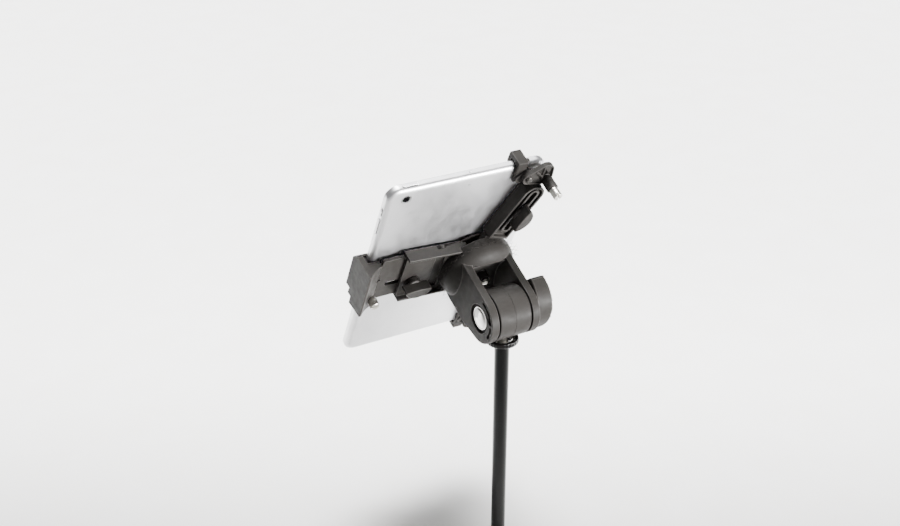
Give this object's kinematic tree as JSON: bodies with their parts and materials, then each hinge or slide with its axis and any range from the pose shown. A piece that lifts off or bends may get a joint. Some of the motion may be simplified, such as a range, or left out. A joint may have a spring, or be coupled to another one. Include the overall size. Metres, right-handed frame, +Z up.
{
  "type": "tablet prompter",
  "caption": "Small silver tablet in a black three-arm holder on a tilting knuckle at the top of a glossy stand rod.",
  "frame": {"origin": "centre of the rod's flat lower end", "axes": "+Z up along the stand rod, +Y towards the reader's side (the tablet's screen), +X to the right seen from behind, along the tilt axis"},
  "size_m": [0.1439, 0.1322, 0.3563],
  "materials": {
    "black_nylon": "moulded glass-filled nylon, charcoal, fine grained",
    "black_lacquer": "glossy black lacquer on steel tube",
    "zinc_steel": "bright zinc plate",
    "polished_cap": "polished chrome",
    "brass": "turned brass",
    "black_rubber": "matt black rubber",
    "bead_blasted_aluminium": "bead-blasted clear anodised aluminium",
    "dark_glass": "polished glass with black backing print",
    "display_panel": "dark panel",
    "battery_foil": "laminated foil pouch",
    "circuit_board": "green solder mask"
  },
  "bodies": {
    "rod": {"rod_tube": "black_lacquer", "rod_end_plug": "black_nylon", "rod_top_stud": "zinc_steel"},
    "lock_ring": {"lock_ring": "black_nylon", "lock_ring_dish": "polished_cap"},
    "knuckle": {"knuckle_left": "black_nylon", "knuckle_right": "black_nylon", "knuckle_insert": "brass", "friction_washer_left": "black_rubber", "friction_washer_right": "black_rubber"},
    "head": {"hub_shell": "black_nylon", "hub_cover": "black_nylon", "fork_screw": "zinc_steel", "tilt_bolt": "zinc_steel", "bolt_cap": "polished_cap", "left_channel": "black_nylon", "upper_arm": "black_nylon", "lower_arm": "black_nylon", "tablet_shell": "bead_blasted_aluminium", "tablet_glass": "dark_glass", "tablet_display": "display_panel", "tablet_battery": "battery_foil", "tablet_board": "circuit_board", "tablet_lens": "dark_glass"},
    "tilt_knob": {"tilt_knob": "black_nylon", "tilt_knob_nut": "brass"},
    "left_slider": {"left_slide_plate": "black_nylon", "left_jaw": "black_nylon", "left_jaw_pad": "black_rubber"},
    "left_lock": {"left_lock_screw": "zinc_steel"},
    "left_knob": {"left_knob": "black_nylon", "left_knob_screw": "zinc_steel"},
    "home_button": {"home_button": "dark_glass"},
    "power_button": {"power_button": "bead_blasted_aluminium"},
    "volume_button": {"volume_button": "bead_blasted_aluminium"},
    "side_switch": {"side_switch": "bead_blasted_aluminium"},
    "upper_slider": {"upper_slider": "black_nylon"},
    "upper_knob": {"upper_knob": "black_nylon", "upper_knob_screw": "zinc_steel"},
    "upper_link": {"upper_link": "black_nylon"},
    "upper_lock": {"upper_lock_sleeve": "black_nylon", "upper_lock_screw": "zinc_steel"},
    "upper_jaw": {"upper_jaw": "black_nylon", "upper_jaw_pad": "black_rubber", "upper_jaw_rivet": "zinc_steel"},
    "lower_slider": {"lower_slider": "black_nylon"},
    "lower_knob": {"lower_knob": "black_nylon", "lower_knob_screw": "zinc_steel"},
    "lower_link": {"lower_link": "black_nylon"},
    "lower_lock": {"lower_lock_sleeve": "black_nylon", "lower_lock_screw": "zinc_steel"},
    "lower_jaw": {"lower_jaw": "black_nylon", "lower_jaw_pad": "black_rubber", "lower_jaw_rivet": "zinc_steel"}
  },
  "joints": [
    {"name": "lock_ring_turn", "type": "hinge", "parent": "rod", "child": "lock_ring", "pos_m": [0, 0, 0.2054], "axis": [0, 0, 1], "continuous": true},
    {"name": "pan", "type": "hinge", "parent": "rod", "child": "knuckle", "pos_m": [0, 0, 0.23], "axis": [0, 0, 1], "continuous": true},
    {"name": "tilt", "type": "hinge", "parent": "knuckle", "child": "head", "pos_m": [0, 0, 0.23], "axis": [1, 0, 0], "range_deg": [-45, 60]},
    {"name": "tilt_knob_turn", "type": "hinge", "parent": "head", "child": "tilt_knob", "pos_m": [0.03, 0, 0.23], "axis": [1, 0, 0], "continuous": true},
    {"name": "left_slide", "type": "slide", "parent": "head", "child": "left_slider", "axis": [-1, 0, 0], "range_m": [0, 0.018]},
    {"name": "left_knob_turn", "type": "hinge", "parent": "head", "child": "left_knob", "pos_m": [-0.056, 0.04189, 0.24917], "axis": [0, 0.8854, 0.4648], "continuous": true},
    {"name": "left_lock_turn", "type": "hinge", "parent": "left_slider", "child": "left_lock", "pos_m": [-0.0872, 0.05171, 0.23908], "axis": [0, 0.8854, 0.4648], "continuous": true},
    {"name": "home_button_press", "type": "slide", "parent": "head", "child": "home_button", "axis": [0, -0.8854, -0.4648], "range_m": [0, 0.0004], "stiffness_N_per_m": 600},
    {"name": "power_button_press", "type": "slide", "parent": "head", "child": "power_button", "axis": [0, 0.4648, -0.8854], "range_m": [0, 0.0004], "stiffness_N_per_m": 600},
    {"name": "volume_button_press", "type": "slide", "parent": "head", "child": "volume_button", "axis": [1, 0, 0], "range_m": [0, 0.0004], "stiffness_N_per_m": 600},
    {"name": "side_switch_slide", "type": "slide", "parent": "head", "child": "side_switch", "axis": [0, -0.4648, 0.8854], "range_m": [0, 0.0018]},
    {"name": "upper_slide", "type": "slide", "parent": "head", "child": "upper_slider", "axis": [0.3584, -0.434, 0.8266], "range_m": [0, 0.02]},
    {"name": "upper_knob_turn", "type": "hinge", "parent": "upper_slider", "child": "upper_knob", "pos_m": [0.02258, 0.01339, 0.30346], "axis": [0, 0.8854, 0.4648], "continuous": true},
    {"name": "upper_link_turn", "type": "hinge", "parent": "upper_slider", "child": "upper_link", "pos_m": [0.038, 0.00439, 0.3335], "axis": [0, 0.8854, 0.4648], "range_deg": [0, 20]},
    {"name": "upper_lock_turn", "type": "hinge", "parent": "upper_slider", "child": "upper_lock", "pos_m": [0.038, -0.00181, 0.33025], "axis": [0, 0.8854, 0.4648], "continuous": true},
    {"name": "upper_jaw_turn", "type": "hinge", "parent": "upper_link", "child": "upper_jaw", "pos_m": [0.0215, 0.00258, 0.33696], "axis": [0, 0.8854, 0.4648], "range_deg": [0, 12]},
    {"name": "lower_slide", "type": "slide", "parent": "head", "child": "lower_slider", "axis": [0.3584, 0.434, -0.8266], "range_m": [0, 0.02]},
    {"name": "lower_knob_turn", "type": "hinge", "parent": "lower_slider", "child": "lower_knob", "pos_m": [0.02258, 0.06807, 0.19931], "axis": [0, 0.8854, 0.4648], "continuous": true},
    {"name": "lower_link_turn", "type": "hinge", "parent": "lower_slider", "child": "lower_link", "pos_m": [0.038, 0.08769, 0.17484], "axis": [0, -0.8854, -0.4648], "range_deg": [0, 20]},
    {"name": "lower_lock_turn", "type": "hinge", "parent": "lower_slider", "child": "lower_lock", "pos_m": [0.038, 0.08149, 0.17159], "axis": [0, 0.8854, 0.4648], "continuous": true},
    {"name": "lower_jaw_turn", "type": "hinge", "parent": "lower_link", "child": "lower_jaw", "pos_m": [0.0215, 0.0895, 0.17139], "axis": [0, -0.8854, -0.4648], "range_deg": [0, 12]}
  ]
}
